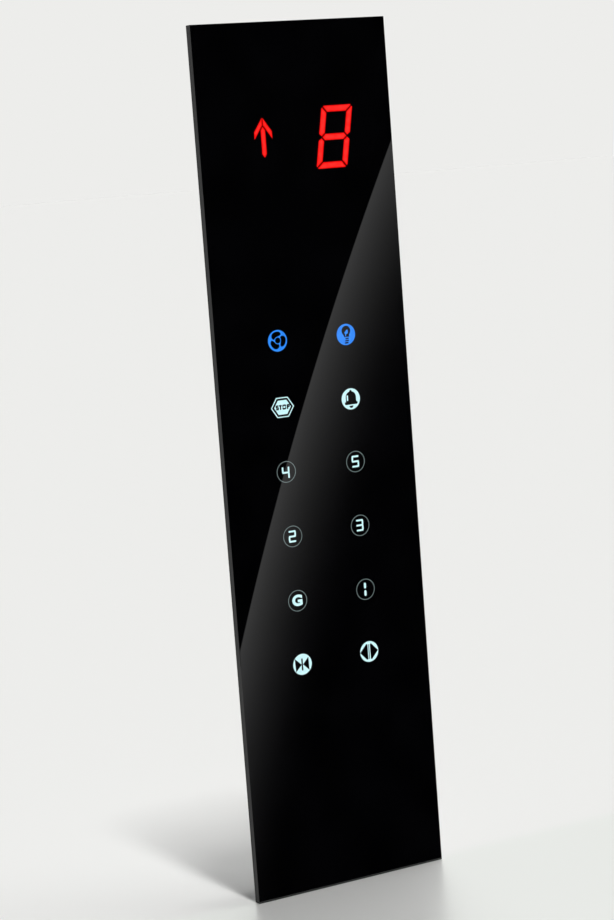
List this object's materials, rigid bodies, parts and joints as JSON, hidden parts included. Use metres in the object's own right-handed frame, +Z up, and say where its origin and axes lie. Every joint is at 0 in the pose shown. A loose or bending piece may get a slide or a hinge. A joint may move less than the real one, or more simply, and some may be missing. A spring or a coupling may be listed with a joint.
{
  "type": "elevator call button panel",
  "caption": "Tall glass-fronted elevator panel with touch keys and a floor display, on a carrier hinged to a shallow wall box, with control boards inside and a key lock below.",
  "frame": {"origin": "middle of the wall box's back plate, on the wall", "axes": "+X right as the passenger sees the panel, +Y into the wall, +Z up"},
  "size_m": [0.15, 0.038, 0.6],
  "materials": {
    "zinc_sheet": "satin zinc-coated sheet",
    "plated_steel": "bright zinc plating",
    "lock_zinc": "plated die-cast zinc",
    "brass": "drawn brass",
    "black_glass": "polished toughened glass, printed black behind",
    "foam_black": "closed-cell foam",
    "rubber_black": "moulded rubber",
    "foil_amber": "clear film with printed electrodes",
    "black_plastic": "moulded",
    "lens_white": "milky moulding",
    "lamp_white": "lamp body with phosphor",
    "board_green": "glass-fibre laminate with green lacquer",
    "module_grey": "moulded, printed face",
    "lit_red": "cast light bars, lit",
    "terminal_green": "moulded",
    "relay_blue": "moulded case",
    "capacitor_sleeve": "shrunk sleeve on a can",
    "ferrite": "pressed ferrite",
    "ribbon_grey": "ribbon of insulated wires",
    "button_white": "moulded"
  },
  "bodies": {
    "wall_box": {"box_back": "zinc_sheet", "box_side_rails": "zinc_sheet", "box_end_rails": "zinc_sheet", "dust_seal": "foam_black", "cable_bush": "rubber_black", "earth_stud": "brass", "earth_nut": "plated_steel", "hinge_box_leaves": "plated_steel", "hinge_pins": "plated_steel", "hinge_box_rivets": "plated_steel", "lock_barrel": "lock_zinc", "lock_nut": "plated_steel"},
    "front_panel": {"front_glass": "black_glass", "bonding_tape": "foam_black", "carrier_plate": "zinc_sheet", "carrier_studs": "brass", "sensor_foil": "foil_amber", "light_frame": "black_plastic", "mark_lenses": "lens_white", "key_board": "board_green", "key_leds": "lamp_white", "touch_chips": "black_plastic", "digit_display": "module_grey", "digit_bars": "lit_red", "arrow_display": "module_grey", "arrow_bars": "lit_red", "display_board": "board_green", "display_spacers": "plated_steel", "display_driver": "black_plastic", "board_nuts": "plated_steel", "board_spacers": "brass", "controller_board": "board_green", "controller_screws": "plated_steel", "processor_chip": "black_plastic", "relays": "relay_blue", "buzzer": "black_plastic", "capacitors": "capacitor_sleeve", "inductor": "ferrite", "terminal_header": "terminal_green", "terminal_plug": "terminal_green", "terminal_screws": "plated_steel", "board_link": "black_plastic", "ribbon_sockets": "black_plastic", "ribbon_lead": "ribbon_grey", "hinge_carrier_leaves": "plated_steel", "hinge_carrier_rivets": "plated_steel", "lock_keeper": "zinc_sheet", "keeper_rivets": "plated_steel", "reset_switch": "black_plastic"},
    "lock_core": {"lock_plug": "lock_zinc", "lock_cam": "plated_steel", "cam_screw": "plated_steel"},
    "reset_button": {"reset_button": "button_white"}
  },
  "joints": [
    {"name": "door_swing", "type": "hinge", "parent": "wall_box", "child": "front_panel", "pos_m": [0.0594, -0.0256, 0], "axis": [0, 0, 1], "range_deg": [0, 100]},
    {"name": "lock_turn", "type": "hinge", "parent": "wall_box", "child": "lock_core", "pos_m": [-0.022, -0.014, -0.262], "axis": [0, 0, -1], "range_deg": [0, 90]},
    {"name": "reset_press", "type": "slide", "parent": "front_panel", "child": "reset_button", "axis": [0, -1, 0], "range_m": [0, 0.00025], "stiffness_N_per_m": 600}
  ]
}
